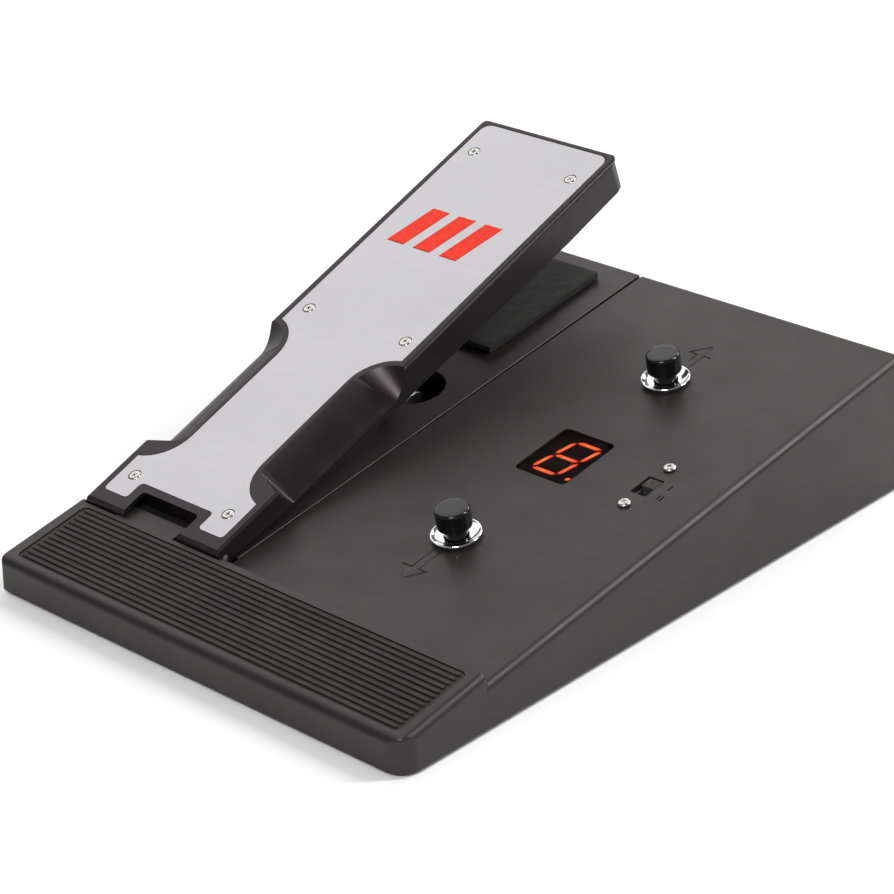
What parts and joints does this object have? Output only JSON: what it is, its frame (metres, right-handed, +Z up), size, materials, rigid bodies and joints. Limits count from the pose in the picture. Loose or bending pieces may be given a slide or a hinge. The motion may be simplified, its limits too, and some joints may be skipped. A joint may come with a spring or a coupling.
{
  "type": "volume pedal",
  "caption": "Floor volume pedal: wedge housing with a hinged foot treadle at the left and a control panel with push buttons, a lit figure display and a slide switch at the right.",
  "frame": {"origin": "under the middle of the unit, at the height of the rubber feet's undersides", "axes": "+X to the right, +Y to the rear (the toe end), +Z up"},
  "size_m": [0.242, 0.3284, 0.1278],
  "materials": {
    "housing_paint": "satin",
    "black_plastic": "satin",
    "rubber": "matte",
    "felt": "matte",
    "satin_plate": "satin",
    "red_enamel": "satin",
    "steel": "satin",
    "chrome": "polished",
    "lens": "polished",
    "segments": "polished",
    "board": "satin",
    "white_plastic": "satin"
  },
  "bodies": {
    "base": {"housing": "housing_paint", "heel_mat": "rubber", "deck_plate": "housing_paint", "felt_pad": "felt", "base_sheet": "steel", "base_screw_1": "steel", "base_screw_2": "steel", "base_screw_3": "steel", "base_screw_4": "steel", "base_screw_5": "steel", "base_screw_6": "steel", "rubber_foot_1": "rubber", "rubber_foot_2": "rubber", "rubber_foot_3": "rubber", "rubber_foot_4": "rubber", "hinge_pin": "steel", "potentiometer": "steel", "pot_bracket": "steel", "button_collar_front": "chrome", "button_switch_front": "black_plastic", "button_spring_front": "steel", "button_collar_rear": "chrome", "button_switch_rear": "black_plastic", "button_spring_rear": "steel", "display_cover": "lens", "display_mask": "black_plastic", "display_segments": "segments", "display_module": "white_plastic", "slide_switch": "steel", "slide_screw_1": "chrome", "slide_screw_2": "chrome", "control_board": "board", "input_jack": "black_plastic", "input_jack_nut": "chrome", "output_jack": "black_plastic", "output_jack_nut": "chrome", "power_inlet": "black_plastic"},
    "treadle": {"treadle": "black_plastic", "foot_plate": "satin_plate", "mark_bar_1": "red_enamel", "mark_bar_2": "red_enamel", "mark_bar_3": "red_enamel", "plate_screw_1": "chrome", "plate_screw_2": "chrome", "plate_screw_3": "chrome", "plate_screw_4": "chrome", "plate_screw_5": "chrome", "plate_screw_6": "chrome", "hinge_bush_left": "black_plastic", "hinge_bush_right": "black_plastic", "stop_bumper": "rubber", "treadle_rack": "white_plastic"},
    "pot_rotor": {"pinion": "white_plastic", "pot_shaft": "steel"},
    "front_button": {"button_cap_front": "black_plastic"},
    "rear_button": {"button_cap_rear": "black_plastic"},
    "slide": {"slide_knob": "black_plastic"}
  },
  "joints": [
    {"name": "treadle_hinge", "type": "hinge", "parent": "base", "child": "treadle", "pos_m": [-0.0747, -0.1114, 0.0243], "axis": [1, 0, 0], "range_deg": [-7.2, 0]},
    {"name": "potentiometer_turn", "type": "hinge", "parent": "base", "child": "pot_rotor", "pos_m": [-0.0747, 0.03253, 0.03318], "axis": [1, 0, 0], "range_deg": [0, 240.5]},
    {"name": "front_button_press", "type": "slide", "parent": "base", "child": "front_button", "axis": [0, 0.1586, -0.9873], "range_m": [0, 0.0025], "stiffness_N_per_m": 600, "springref_m": -0.0005, "deforming": ["button_spring_front"]},
    {"name": "rear_button_press", "type": "slide", "parent": "base", "child": "rear_button", "axis": [0, 0.1586, -0.9873], "range_m": [0, 0.0025], "stiffness_N_per_m": 600, "springref_m": -0.0005, "deforming": ["button_spring_rear"]},
    {"name": "slide_switch_move", "type": "slide", "parent": "base", "child": "slide", "axis": [0, 0.9873, 0.1586], "range_m": [-0.006, 0]}
  ],
  "couplings": [
    {"joint": "potentiometer_turn", "follows": "treadle_hinge", "ratio": -33.333}
  ]
}
